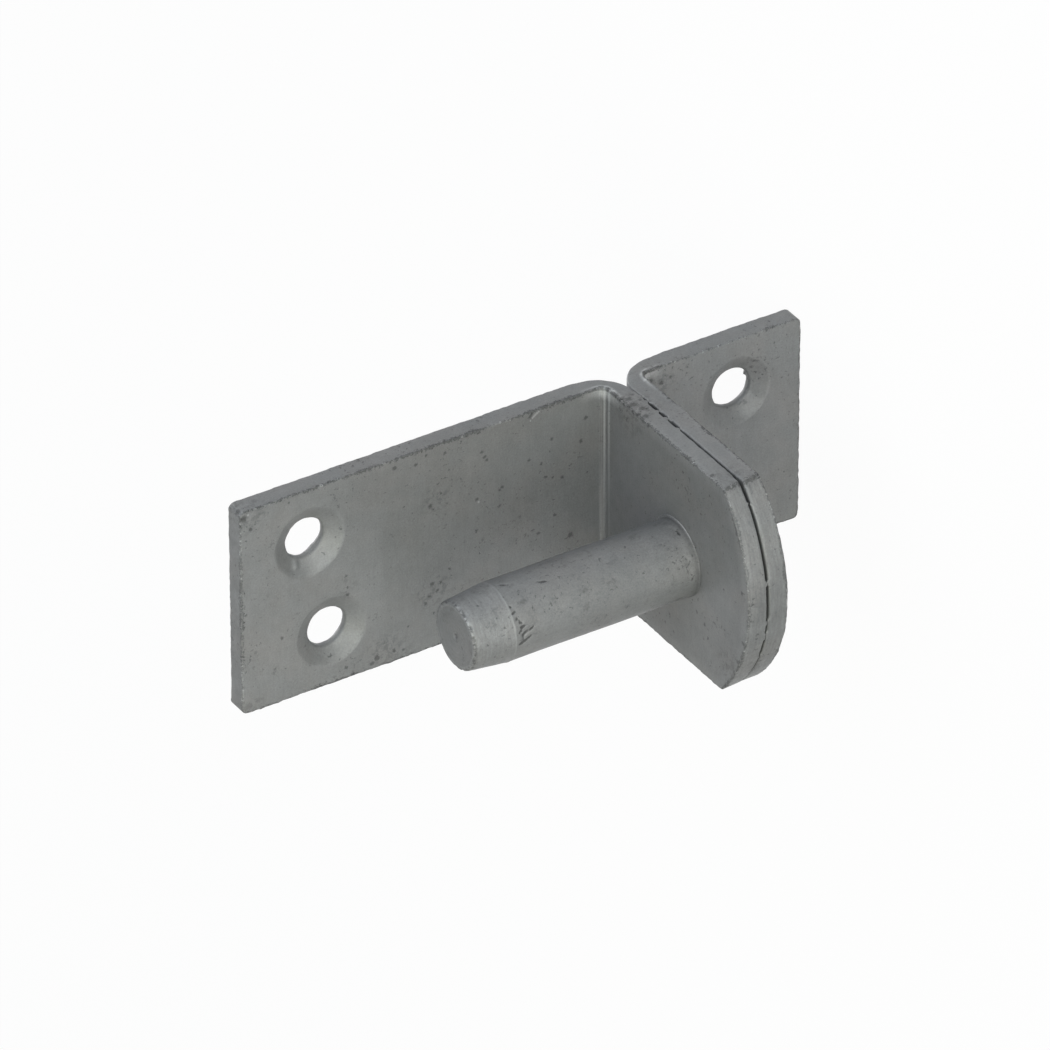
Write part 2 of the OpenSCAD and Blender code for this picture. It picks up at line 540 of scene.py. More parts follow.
def edge_rings(leaf, seed):
    """Rings of flat points from the front face, over the wall, to the back face."""
    front, rear = outline(leaf, 0), outline(leaf, 1)
    cut, web, place, ends = edge_places(leaf, front)
    flat = at_depth(front, 0.0)
    rough, fine = waves(seed, 9.0)(flat), waves(seed + 1, 1.6)(flat)
    s = stations(leaf)
    fold = bump(front[:, 0] - (s[2] + s[3]) / 2, 2.4) * (1 - cut)
    front_r = FRONT_ARRIS + 0.05 * rough + 0.06 * fine + FOLD_ARRIS * fold - 0.04 * cut * web
    rear_r = REAR_ARRIS + 0.05 * rough + 0.04 * fine
    gap = np.where(place > SEAM_START, seam_gap(place), 0.0)
    sealed = np.clip((place - SEAM_START) / SEAM_EASE, 0, 1) * (web | (place > BEYOND_FOLD))
    rear_r = rear_r * (1 - sealed) + (leaf["lip"] + 0.3 * gap + 0.02 * fine) * sealed
    gap = gap * sealed
    wall = 0.02 * waves(seed + 2, 3.0)(flat) + 0.014 * fine
    rings = []
    for inset, depth in edge_profile(wall, front_r, rear_r, gap):
        base = front + (rear - front) * (depth / STRIP_T)[:, None]
        rings.append(at_depth(base - outward(base) * inset[:, None], depth))
    return rings, gap, cut, ends


print("rings round an edge:", 2 * len(ARRIS_TURNS) + len(WALL_PARTS))

# %% [markdown]
# ## Countersunk screw holes
# The drill and the countersink leave a wide cone and a short straight wall. Punching breaks the
# back of the hole out a little wider, which shows as a crescent behind the bore. A boolean cut
# would leave sharp lines and long thin faces. Zinc softens every corner, so each hole is its own
# stack of rings. One hole has a drip of zinc in its cone, given by angle, radius, size and height,
# and one has a tooth at the back, given by angle, width and size.

# %% Rings of a screw hole
ROUND_SIDES = 96
TURN = np.linspace(0, 2 * np.pi, ROUND_SIDES, endpoint=False)
SINK_LIP, BREAKOUT = 0.28, 0.62
DRIPS = {(12.6, 1): (-2.02, 4.5, 0.5, 0.35)}
TEETH = {(12.0, 1): (2.875, 0.11, 0.45)}

def hole_steps():
    """Radius and depth of each ring: softened mouth, cone, bore and breakout."""
    steps = [(SINK_R + SINK_LIP, 0.0), (SINK_R + 0.1, 0.02)]
    for up in np.linspace(1.5, 0.1, 9):
        steps.append((HOLE_R + 0.12 + SINK_SLOPE * up * 0.965, SINK_DEPTH - up))
    steps += [(HOLE_R, SINK_DEPTH + 0.08), (HOLE_R, 2.1), (HOLE_R + 0.02, 2.5)]
    steps += [(HOLE_R + 0.1, 2.8), (HOLE_R + 0.3, 3.15), (HOLE_R + 0.5, 3.38)]
    return steps + [(HOLE_R + BREAKOUT, STRIP_T)]


def round_ring(centre, radius, depth):
    return at_depth(centre + radius * np.stack([np.cos(TURN), np.sin(TURN)], axis=1), depth)


def hole_centre(hole):
    return np.array([hole[0], hole[1] * HOLE_SIDE])


def add_drip(ring, hole, angle, radius, size, height):
    """Raises the cone where a drop of zinc has set in it."""
    spot = hole_centre(hole) + radius * np.array([math.cos(angle), math.sin(angle)])
    near = bump(np.hypot(*(ring[:, :2] - spot).T), size)
    ring[:, 2] -= height * near * (ring[:, 2] > 0.05) * (ring[:, 2] < 3.4)


def hole_rings(hole, seed):
    """Rings of flat points down a countersunk hole, from the front face to the back."""
    relief, ripple = waves(seed, 4.0), waves(seed + 1, 1.3)
    rings = []
    for radius, depth in hole_steps():
        ring = round_ring(np.zeros(2), radius, depth)
        swell = 0.05 * relief(ring) + 0.02 * ripple(ring)
        swell += 0.16 * relief(ring * [1, 1, 0]) * np.clip((depth - 2.4) / 0.9, 0, 1)
        if hole in TEETH and depth > 2.7:
            angle, width, size = TEETH[hole]
            swell -= size * bump(TURN - angle, width)
        scale = 1 + swell / radius * (depth > 0)
        ring[:, :2] = ring[:, :2] * scale[:, None] + hole_centre(hole)
        if hole in DRIPS:
            add_drip(ring, hole, *DRIPS[hole])
        rings.append(ring)
    return rings


print("rings of a screw hole:", len(hole_steps()))

# %% [markdown]
# The tenon passes through both webs in a plain round hole. Nobody sees it, since the pin's shoulder
# and its rivet head cover it, so four rings are enough and no relief is added.

# %% Rings of the tenon's hole
TENON_LIP = 0.2

def tenon_centre(leaf):
    return np.array([stations(leaf)[4] - EVEN + PIN_OUT, -PIN_SIDE])


def tenon_rings(leaf):
    """Rings of flat points through the web, where the foot of the pin passes."""
    radius = TENON_R + TENON_GAP
    steps = [(radius + TENON_LIP, 0), (radius, TENON_LIP)]
    steps += [(r, STRIP_T - depth) for r, depth in reversed(steps)]
    return [round_ring(tenon_centre(leaf), r, depth) for r, depth in steps]


print("tenon passes the upper strip at", tenon_centre(UPPER).round(2), "mm")

# %% [markdown]
# ## The broad faces
# The two broad faces of a strip carry the holes and the fold. A grid of squares can't follow round
# holes, and one flat polygon can't bend. A Delaunay fill takes any outline, holes and rows of
# points that crowd together where the strip bends. It keeps the points' own numbers, so the faces
# share their border with the rings and the mesh stays watertight.

# %% Rows of points and the fill between rings
ROW, FOLD_ROW, FOLD_MARGIN = 0.6, 0.16, 0.8
COLUMNS = 64

def rows_of_points(leaf):
    s = stations(leaf)
    low, high = s[2] - FOLD_MARGIN, s[3] + FOLD_MARGIN
    ways = np.concatenate([
        np.arange(ROW, low, ROW), np.arange(low, high, FOLD_ROW),
        np.arange(high, s[4] + leaf["tip"][1] - EVEN, ROW),
    ])
    grid = np.meshgrid(ways, np.linspace(-HALF_W + 0.5, HALF_W - 0.5, COLUMNS), indexing="ij")
    return np.stack([part.ravel() for part in grid], axis=1)


def nearest(points, border):
    """Distance from each point to the border, and which border point is nearest."""
    found, which = [], []
    for part in np.array_split(points, max(1, len(points) // 2000)):
        along, side = (part[:, None, i] - border[None, :, i] for i in (0, 1))
        gap = np.hypot(along, side)
        which.append(gap.argmin(axis=1))
        found.append(gap.min(axis=1))
    return np.concatenate(found), np.concatenate(which)


def fill(loops, inner, first):
    """Triangles inside the first loop and outside the others, over inner points."""
    numbers, points, edges = [], [], []
    for start, loop in loops:
        base, count = len(points), len(loop)
        points += [Vector(p[:2]) for p in loop]
        numbers += range(start, start + count)
        edges += [(base + i, base + (i + 1) % count) for i in range(count)]
    numbers += range(first, first + len(inner))
    points += [Vector(p) for p in inner]
    _, _, found, origin, _, _ = delaunay_2d_cdt(points, edges, [], 1, 1e-7)
    faces = [tuple(numbers[origin[i][0]] for i in face) for face in found]
    holes = [set(range(start, start + len(loop))) for start, loop in loops[1:]]
    return [face for face in faces if not any(hole.issuperset(face) for hole in holes)]


print("upper leaf:", len(rows_of_points(UPPER)), "points in rows on each broad face")

# %% [markdown]
# The press tool leaves two fine ridges in the fold with shallow furrows beside them, fainter on
# the way down. A bump in the material could fake them, but a real relief of a few hundredths of a
# millimetre catches the light from every side. Each line has its place in degrees of the fold's
# turn, a width and a height. The rest of both faces is only softly wavy.

# %% Relief of the broad faces
PRESS_LINES = [(54, 7, 0.03), (24, 9, -0.04), (82, 7, -0.02), (97, 5, 0.05)]

def fold_turn(leaf, way):
    """How far the fold has turned, in degrees: 0 at the plate and 90 at the web."""
    s = stations(leaf)
    return (way - s[2]) / (s[3] - s[2]) * 90


def front_relief(leaf, points, seed):
    flat = at_depth(points, 0.0)
    turn = fold_turn(leaf, points[:, 0])
    fade = 0.55 + 0.45 * np.clip((points[:, 1] + 4) / 18, 0, 1)
    ridges = sum(height * bump(turn - place, width) for place, width, height in PRESS_LINES)
    soft = 0.03 * waves(seed, 15.0)(flat) + 0.008 * waves(seed + 1, 2.2)(flat)
    return -(soft + ridges * fade * (0.9 + 0.25 * waves(seed + 2, 2.5)(flat)))


def rear_relief(points, seed):
    flat = at_depth(points, 0.0)
    return -0.03 + 0.03 * waves(seed, 15.0)(flat) + 0.01 * waves(seed + 1, 3.0)(flat)


print("lines and furrows in a fold:", len(PRESS_LINES))

# %% [markdown]
# One broad face then takes the rows of points that lie on it, clear of holes and rim. The relief
# eases out towards the rim, so the face meets its rings without a step. On the seam side the face
# sinks a little where the groove stands open.

# %% One broad face with its relief
RIM_EASE, SEAM_REACH = 1.2, (2.5, 1.5)
EDGE_LIMIT, EDGE_START = 3, 0.3

def round_end(rim, leaf):
    """The way at which the rounded end of a face stops, for each distance across."""
    end = rim[(rim[:, 0] > stations(leaf)[4] + 20) & (rim[:, 1] >= -0.2)]
    end = end[np.argsort(end[:, 1])]
    return end[:, 1], end[:, 0]


def broad_face(leaf, loops, face, gap, seed):
    """Inner points of a broad face, their depth, and how far from the arris they are."""
    border, rim = np.concatenate([ring[:, :2] for _, ring in loops]), loops[0][1]
    rows = rows_of_points(leaf)
    off, _ = nearest(rows, border)
    mouth = SINK_R + SINK_LIP if face == 0 else HOLE_R + BREAKOUT
    inside = rows[:, 0] < np.interp(np.abs(rows[:, 1]), *round_end(rim, leaf))
    for hole in leaf["holes"]:
        inside &= np.hypot(*(rows - hole_centre(hole)).T) > mouth
    inside &= np.hypot(*(rows - tenon_centre(leaf)).T) > TENON_R + TENON_GAP
    keep = inside & (off > EDGE_START)
    rows, ease = rows[keep], np.clip(off[keep] / RIM_EASE, 0, 1)
    edge, which = nearest(rows, rim)
    if face == 0:
        depth = front_relief(leaf, rows, seed + 40) * ease
    else:
        near = np.clip((SEAM_REACH[0] - edge) / SEAM_REACH[1], 0, 1)
        seam = gap[which] / 2 * near * (rows[:, 0] > stations(leaf)[3])
        depth = STRIP_T - seam + rear_relief(rows, seed + 50) * ease
    return rows, depth, np.minimum(edge, EDGE_LIMIT) + EDGE_START


print("a broad face flattens", RIM_EASE, "mm before its rim")

# %% [markdown]
# ## Where the coat is dirty, and where shade is painted
# Handling leaves soft round smudges on the zinc near the arrises and the pin. A few wider areas are
# painted shade, which darkens parts of the webs and the lower plate. They could be painted on an
# image, but then the image would have to travel with the part. They are wide, so each point of the
# mesh can say how far inside one it lies.

# %% Soft areas on the strips
SMUDGED = [
    (-7.0, 21.5, 31.5, 3.5), (-16.8, 21.5, 40.0, 4.5), (-1.0, 21.5, 47.5, 2.0),
    (9.6, 21.5, 31.0, 2.5), (16.5, 21.5, -9.5, 3.5), (19.6, 14.0, -0.8, 4.5),
    (19.6, -10.5, -3.0, 3.0), (-13.5, -15.5, -1.5, 4.5), (19.0, 22.5, 64.5, 3.5),
    (-17.5, 22.0, 64.5, 2.5),
]
# Wide areas of painted shade: the upper web near its -X edge, both rounded ends and one spot on the
# lower plate
PAINTED_SHADE_AREAS = [
    (-15.0, 4.0, 0.0, 6.0), (1.5, -20.7, -5.5, 6.0), (-10.0, -17.6, -1.7, 6.0),
    (6.0, 22.3, -26.0, 3.0),
]

def inside_areas(points, areas):
    """1 in the middle of an area, given as x, y, z and radius, and 0 away from all of them."""
    areas = np.array(areas)
    off = np.linalg.norm(points[:, None] - areas[None, :, :3], axis=2) / areas[:, 3]
    share = np.clip(1.5 - off.min(axis=1), 0, 1)
    return share * share * (3 - 2 * share)


print("smudged areas:", len(SMUDGED), "and dull ones:", len(PAINTED_SHADE_AREAS))

# %% [markdown]
# ## From points to a piece
# Each piece becomes one mesh object. Its measures, such as how near an arris a point is, go along
# as mesh attributes, because a finish can read them anywhere and they need no unwrapped image.
# Relief may dip into the CAD box but never stand out of it.

# %% Make a piece
NORMAL_WEIGHT = 60

def outward_faces(mesh):
    """Turns all faces outward, and counts the edges that two faces don't share."""
    work = bmesh.new()
    work.from_mesh(mesh)
    bmesh.ops.recalc_face_normals(work, faces=work.faces)
    open_edges = sum(1 for edge in work.edges if not edge.is_manifold)
    work.to_mesh(mesh)
    work.free()
    return open_edges


def make_piece(name, points, faces, measures):
    """A smooth object from points in millimetres, with a measure of each point by name."""
    mesh = bpy.data.meshes.new(name)
    held = np.clip(points * MM, np.array(cad_box[0]), np.array(cad_box[1]))
    mesh.from_pydata(held.tolist(), [], faces)
    for label, numbers in measures.items():
        layer = mesh.attributes.new(label, "FLOAT", "POINT")
        layer.data.foreach_set("value", numbers.astype(np.float32))
    open_edges = outward_faces(mesh)
    mesh.polygons.foreach_set("use_smooth", [True] * len(mesh.polygons))
    piece = bpy.data.objects.new(name, mesh)
    bpy.context.scene.collection.objects.link(piece)
    weigh = piece.modifiers.new("Weigh_normals", "WEIGHTED_NORMAL")
    weigh.weight, weigh.keep_sharp = NORMAL_WEIGHT, False
    print(name, len(mesh.polygons), "faces,", open_edges, "open edges")
    return piece


# %% [markdown]
# ## One mesh per leaf
# A leaf is one solid piece of steel, so it is one closed mesh: the wall, the holes and the two
# broad faces share their points. `Shell` collects them. For each point it also keeps how far it is
# from the front arris, how crosswise the edge was cut there, and how far off the corners are.

# %% A shell of rings and faces
FAR, IN_HOLE = 9.0, 3.0

class Shell:
    """Points, faces and measures of a leaf while it is being made."""

    def __init__(self):
        self.points, self.marks, self.faces, self.count = [], [], [], 0

    def add(self, points, edge, cut=0.0, ends=FAR):
        """Takes points with their measures, and gives the number of the first one."""
        start = self.count
        self.count += len(points)
        self.points.append(points)
        marks = [np.broadcast_to(mark, len(points)) for mark in (edge, cut, ends)]
        self.marks.append(np.stack(marks, axis=1))
        return start

    def tube(self, rings, edges, cut=0.0, ends=FAR):
        """Joins rings into a tube, and gives the number and the ring at both mouths."""
        starts = [self.add(ring, edge, cut, ends) for ring, edge in zip(rings, edges)]
        after = np.roll(np.arange(len(rings[0])), -1).tolist()
        for low, high in zip(starts, starts[1:]):
            self.faces += [(low + i, low + j, high + j, high + i) for i, j in enumerate(after)]
        return (starts[0], rings[0]), (starts[-1], rings[-1])


print("a shell knows:", ", ".join(name for name in vars(Shell) if not name.startswith("_")))

# %% [markdown]
# Now the parts come together: wall first, then the holes, then the two faces. The finished flat
# leaf is folded up, or down for the lower one, and becomes a piece.

# %% Make both leaves
MID_WALL = 6

def leaf_shell(leaf, seed):
    shell = Shell()
    rings, gap, cut, ends = edge_rings(leaf, seed)
    insets = [np.linalg.norm(ring[:, :2] - rings[MID_WALL][:, :2], axis=1) for ring in rings]
    mouths = [shell.tube(rings, insets, cut, np.minimum(ends, FAR))]
    inner = [hole_rings(hole, seed + 20 + 5 * i) for i, hole in enumerate(leaf["holes"])]
    for rounds in (*inner, tenon_rings(leaf)):
        mouths.append(shell.tube(rounds, [IN_HOLE] * len(rounds)))
    for face, loops in enumerate(zip(*mouths)):
        rows, depth, edge = broad_face(leaf, loops, face, gap, seed)
        start = shell.add(at_depth(rows, depth), edge)
        shell.faces += fill(loops, rows, start)
    return shell


def make_leaf(name, leaf, up, seed):
    shell = leaf_shell(leaf, seed)
    flat, marks = np.concatenate(shell.points), np.concatenate(shell.marks)
    upright = fold_up(leaf, flat, up)
    measures = {"depth": flat[:, 2], "fold": np.clip(fold_turn(leaf, flat[:, 0]), -60, 150)}
    measures.update(zip(("edge", "cut", "ends"), marks.T))
    # smudged areas are dirt; the second set of areas is painted shade
    measures.update(smudged=inside_areas(upright, SMUDGED), dull=inside_areas(upright, PAINTED_SHADE_AREAS))
    return make_piece(name, upright, shell.faces, measures)


upper = make_leaf("Upper_leaf", UPPER, 1, 11)
lower = make_leaf("Lower_leaf", LOWER, -1, 71)

# %% [markdown]
# ## The hinge pin
# The real pin is turned and then riveted. A cylinder with bevels would do for the shank alone, so
# it is a profile swept round its axis, written down as radius and height. From the top it holds the
# dimple of the lathe's centre, the flat end, the tapered lead with a fine ring where it begins, the
# collar of zinc at the root, the tenon, and the low head that the rivet hammer spread.

# %% Profile of the pin
LEAD_Z, TIP_R, FOOT_Z = PIN_LEN - LEAD_LEN, PIN_R - LEAD_DROP, SEAM_Z - STRIP_T
DIMPLE = [(0.0, 0.4), (0.3, 0.32), (0.55, 0.06)]
LEAD_RING = [(0.02, 0.1), (0.04, 0.0), (0.02, -0.12), (0.0, -0.3)]
COLLAR = [
    (0.0, 0.8), (0.01, 0.5), (0.04, 0.3), (0.12, 0.17), (0.26, 0.12),
    (0.38, 0.15), (0.46, 0.23), (0.54, 0.21), (0.6, 0.1), (0.61, 0.0),
]

def end_profile():
    """The dimple, the flat end and its rounded rim."""
    line = [(r, PIN_LEN - depth) for r, depth in DIMPLE]
    line += [(r, PIN_LEN - 0.02 * (r < 1)) for r in np.arange(0.7, TIP_R - 0.5, 0.35)]
    for q in np.radians([0, 22, 45, 68, 90]):
        line.append((TIP_R - 0.4 * (1 - math.sin(q)), PIN_LEN - 0.4 * (1 - math.cos(q))))
    return line


def shank_profile():
    """The lead, the fine ring, the shank and the collar at its root."""
    rows = np.linspace(PIN_LEN - 0.6, LEAD_Z + 0.25, 22)
    line = [(TIP_R + (PIN_LEN - z) / LEAD_LEN * LEAD_DROP, z) for z in rows]
    line += [(PIN_R + swell, LEAD_Z + rise) for swell, rise in LEAD_RING]
    line += [(PIN_R, z) for z in np.arange(LEAD_Z - 0.6, 1.3, -0.32)]
    return line + [(PIN_R + swell, z) for swell, z in COLLAR]


def foot_profile():
    """The tenon and the domed rivet head, which closes on the lower web."""
    line = [(TENON_R, 0.0), (TENON_R, FOOT_Z - 0.01), (HEAD_R - 0.2, FOOT_Z - 0.01)]
    dome, low = (HEAD_R**2 + HEAD_H**2) / (2 * HEAD_H), FOOT_Z - HEAD_H
    rows = np.arange(HEAD_R - 0.1, 0.2, -0.3)
    line += [(r, low + dome - math.sqrt(dome**2 - r * r)) for r in rows]
    return line + [(0.0, low)]


pin_line = np.array(end_profile() + shank_profile() + foot_profile())
print("profile of the pin:", len(pin_line), "points,", np.ptp(pin_line[:, 1]).round(2), "mm high")

# %% [markdown]
# Knocks and slipped tools leave nicks in the zinc. They could be carved in a sculpt, but a table is
# easier to change: each nick has an angle round the pin, a height, a length, a width and a slant,
# and is pressed into the swept surface as a small dent.

# %% Nicks in the pin
NICKS = [
    (-1, 32.2, 0.8, 0.2, 60), (-39, 33.5, 0.3, 0.25, 0), (-57, 33.2, 0.45, 0.2, -40),
    (-63, 32.7, 0.4, 0.25, 30), (-75, 32.9, 0.6, 0.24, -55), (-80, 32.3, 0.7, 0.26, -50),
    (-86, 32.6, 0.6, 0.26, -20), (-90, 31.8, 1.0, 0.27, -58), (-76, 30.9, 0.6, 0.18, -60),
    (-95, 32.9, 0.6, 0.26, -70), (-70, 32.4, 0.6, 0.22, -80), (-48, 33.4, 0.5, 0.2, -70),
    (-20, 26.3, 0.7, 0.16, 75), (-9, 1.9, 0.8, 0.3, 30), (-20, 1.5, 0.9, 0.3, 20),
    (-45, 2.2, 0.5, 0.25, 10), (-60, 2.0, 1.0, 0.35, 15), (-78, 1.9, 0.7, 0.25, 0),
    (150, 30.0, 1.0, 0.2, 30), (80, 18.0, 0.9, 0.18, 60), (220, 8.0, 1.0, 0.2, 10),
    (120, 38.0, 0.7, 0.2, 80),
]
NICK_DEPTH = 0.13
PIN_SIDES = 288

def nick_dents(radius, height, angle):
    """How deep each point lies in a nick; those near the root are shallower."""
    dent = np.zeros_like(radius)
    for place, z, length, width, slant in NICKS:
        off = (np.degrees(angle) - place + 180) % 360 - 180
        x, y = np.radians(off) * radius, height - z
        c, s = math.cos(math.radians(slant)), math.sin(math.radians(slant))
        dent += NICK_DEPTH * bump(x * c + y * s, length) * bump(y * c - x * s, width)
    return dent * np.clip(height / 5, 0.4, 1)


print("nicks in the pin:", len(NICKS))

# %% [markdown]
# A soft relief keeps the shank from looking machined. The collar is higher on one side, the rim of
# the flat end is chewed by knocks, the end face is not quite flat, and hammer marks dent the head.

# %% Sweep the pin and wear it
def sweep(radius, height, angle):
    skin = [radius * np.cos(angle), radius * np.sin(angle), height]
    return np.stack(skin, axis=-1).reshape(-1, 3)


def pin_skin():
    """Radius, height and angle of every point of the worn pin, and the depth of its nicks."""
    turn = np.linspace(0, 2 * np.pi, PIN_SIDES, endpoint=False)
    height, angle = np.meshgrid(pin_line[1:-1, 1], turn, indexing="ij")
    radius, _ = np.meshgrid(pin_line[1:-1, 0], turn, indexing="ij")
    smooth = sweep(radius, height, angle)

    def relief(seed, size):
        return waves(seed, size)(smooth).reshape(radius.shape)

    shell = (height > 0.3) & (height < PIN_LEN - 0.1)
    dent = nick_dents(radius, height, angle)
    radius = radius + (0.03 * relief(5, 12.0) + 0.008 * relief(6, 2.0) - dent) * shell
    collar = (radius > PIN_R + 0.005) & (height < 0.55)
    radius = np.where(collar, PIN_R + (radius - PIN_R) * (0.5 + 0.5 * np.sin(angle)), radius)
    chewed = np.clip(relief(15, 1.5) + 0.7 * relief(16, 0.8), -0.2, 1.6)
    radius = radius - 0.1 * chewed * bump(height - PIN_LEN + 0.2, 0.4) * (radius > 5)
    hammered = 0.09 * (1 + relief(9, 3.2)) * (1 - (radius / HEAD_R) ** 2)
    height = height + np.where(height < FOOT_Z - 0.05, hammered, 0)
    face = (height > PIN_LEN - 0.3) & (radius < 5)
    height = height + np.where(face, -0.03 + 0.03 * relief(12, 5.0), 0)
    return radius, height, angle, dent * shell


pin_parts = pin_skin()
print("pin is swept in", len(pin_parts[0]), "rings of", PIN_SIDES, "points")

# %% [markdown]
# The swept points are joined into one closed mesh with a fan at both ends. The pin's own measures
# tell its finish where a nick, the lead and the chewed rim are, and where the collar's bead takes a
# painted highlight and the gutter above it painted shade.

# %% Make the pin
def pin_faces(rings):
    top, foot, last = rings * PIN_SIDES, rings * PIN_SIDES + 1, (rings - 1) * PIN_SIDES
    faces = []
    for i in range(PIN_SIDES):
        j = (i + 1) % PIN_SIDES
        faces += [(top, i, j), (foot, last + j, last + i)]
        for low in range(0, last, PIN_SIDES):
            high = low + PIN_SIDES
            faces.append((low + i, high + i, high + j, low + j))
    return faces


def pin_measures(radius, height, dent):
    lead = np.clip((height - LEAD_Z + 0.15) / 0.3, 0, 1) * (radius > 5.2)
    rim = bump(np.hypot(radius - 5.55, height - PIN_LEN + 0.15), 0.35)
    # painted highlight on the collar's bead, and painted shade in the gutter above it
    collar_highlight = bump(height - 0.2, 0.12) * (radius > PIN_R + 0.12)
    gutter_shade = bump(height - 0.55, 0.35) * (radius < PIN_R + 0.12)
    measures = {"nick": dent / NICK_DEPTH, "lead": lead, "rim": rim, "seat": collar_highlight - gutter_shade}
    return {name: np.append(part, [0, 0]) for name, part in measures.items()}


radius, height, angle, dent = pin_parts
ends = [[0, 0, pin_line[0, 1]], [0, 0, pin_line[-1, 1] + 0.09]]
points = np.concatenate([sweep(radius, height, angle), ends])
measures = pin_measures(radius, height, dent)
pin = make_piece("Hinge_pin", points, pin_faces(len(radius)), measures)

# %% [markdown]
# ## The zinc
# Dip zinc is a dull metal: a mid grey with soft clouds, fine grain, faint runs in the direction in
# which it drained, and small dark pits and scuffs that crowd in some places. A photographed texture
# would show its seams and its own light, so noise of several sizes makes all of it. A shaky copy of
# the place keeps pits and scuffs from looking round. The hue sways between a cool and a warm grey.

# %% The coat that strips and pin share
COOL_ZINC, WARM_ZINC = (0.956, 0.987, 0.99, 1), (0.98, 0.987, 0.975, 1)
ZINC_TONE, METAL_SHARE, DULLNESS = 0.18, 0.45, 0.52
TO_MM = (1000, 1000, 1000)
SHAKE = (0.8, 0.8, 0.8)

def zinc_coat(wire, drain):
    """Place in millimetres, the same place made shaky, grey tone, height, grain and hue."""
    where = wire.node("ShaderNodeTexCoord", out="Object")
    place = wire.node("ShaderNodeMapping", {}, {"Vector": where, "Scale": TO_MM})
    sway = wire.noise(place, 2.2, 2.0, 0.6).also("Color")
    shaky = wire.vector("MULTIPLY_ADD", sway, SHAKE, place)
    clouds = wire.noise(place, 0.07, 3.0, 0.55) - 0.5
    blotch = wire.noise(place, 0.45, 4.0, 0.65) - 0.5
    grain = wire.noise(place, 3.4, 3.0, 0.75) - 0.5
    streak = wire.noise(wire.vector("MULTIPLY", place, drain), 2.2, 3.0, 0.6) - 0.5
    tone = ZINC_TONE * (1 + clouds * 0.34 + blotch * 0.3 + grain * 0.75 + streak * 0.16)
    crowd = (wire.noise(place, 0.1, 2.0, 0.5) - 0.5) * 0.3
    pits = (wire.noise(shaky, 1.6, 2.0, 0.5) + crowd).step(0.66, 0.72)
    scuffs = (wire.noise(shaky, 0.62, 4.0, 0.7) + crowd * 0.8).step(0.65, 0.7)
    tone = tone * (1 - pits * 0.42) * (1 - scuffs * 0.24)
    relief = grain * 0.6 + blotch * 0.7 + streak * 0.25 - pits * 0.8 - scuffs * 0.8
    share = wire.noise(place, 0.11, 3.0, 0.6).step(0.38, 0.68)
    ends = {0: share, 6: COOL_ZINC, 7: WARM_ZINC}
    hue = wire.node("ShaderNodeMix", {"data_type": "RGBA"}, ends, out=2)
    return place, shaky, tone, relief, grain, hue


print("zinc reflects", ZINC_TONE, "and is", METAL_SHARE, "metal")

# %% [markdown]
# Strips and pin end in the same shader. A fully metallic one would mirror the white surround and
# turn chalky, so the coat is only half metal and rather dull. A bump adds what is too fine for
# the mesh, at well under a tenth of a millimetre.

# %% From tone and height to a shader
BUMP_HEIGHT, BUMP_STRENGTH = 0.00008, 0.6

def dull_metal(tone, hue, rough, height):
    dent = {"Strength": BUMP_STRENGTH, "Distance": BUMP_HEIGHT, "Height": height}
    sockets = {"Base Color": tone.tint(hue), "Metallic": METAL_SHARE, "Roughness": rough}
    sockets["Normal"] = tone.node("ShaderNodeBump", {}, dent)
    show(tone.node("ShaderNodeBsdfPrincipled", {}, sockets))


print("the bump is", BUMP_HEIGHT / MM, "mm high")

# %% [markdown]
# ## Marks in their places
# The real part has small dark marks and one bright gouge where a tool slipped. Noise can't put a
# mark in its place, and an image would have to be painted and kept. So each mark is a point of the
# part, in millimetres, with a radius, and a finish asks how far the nearest one is.

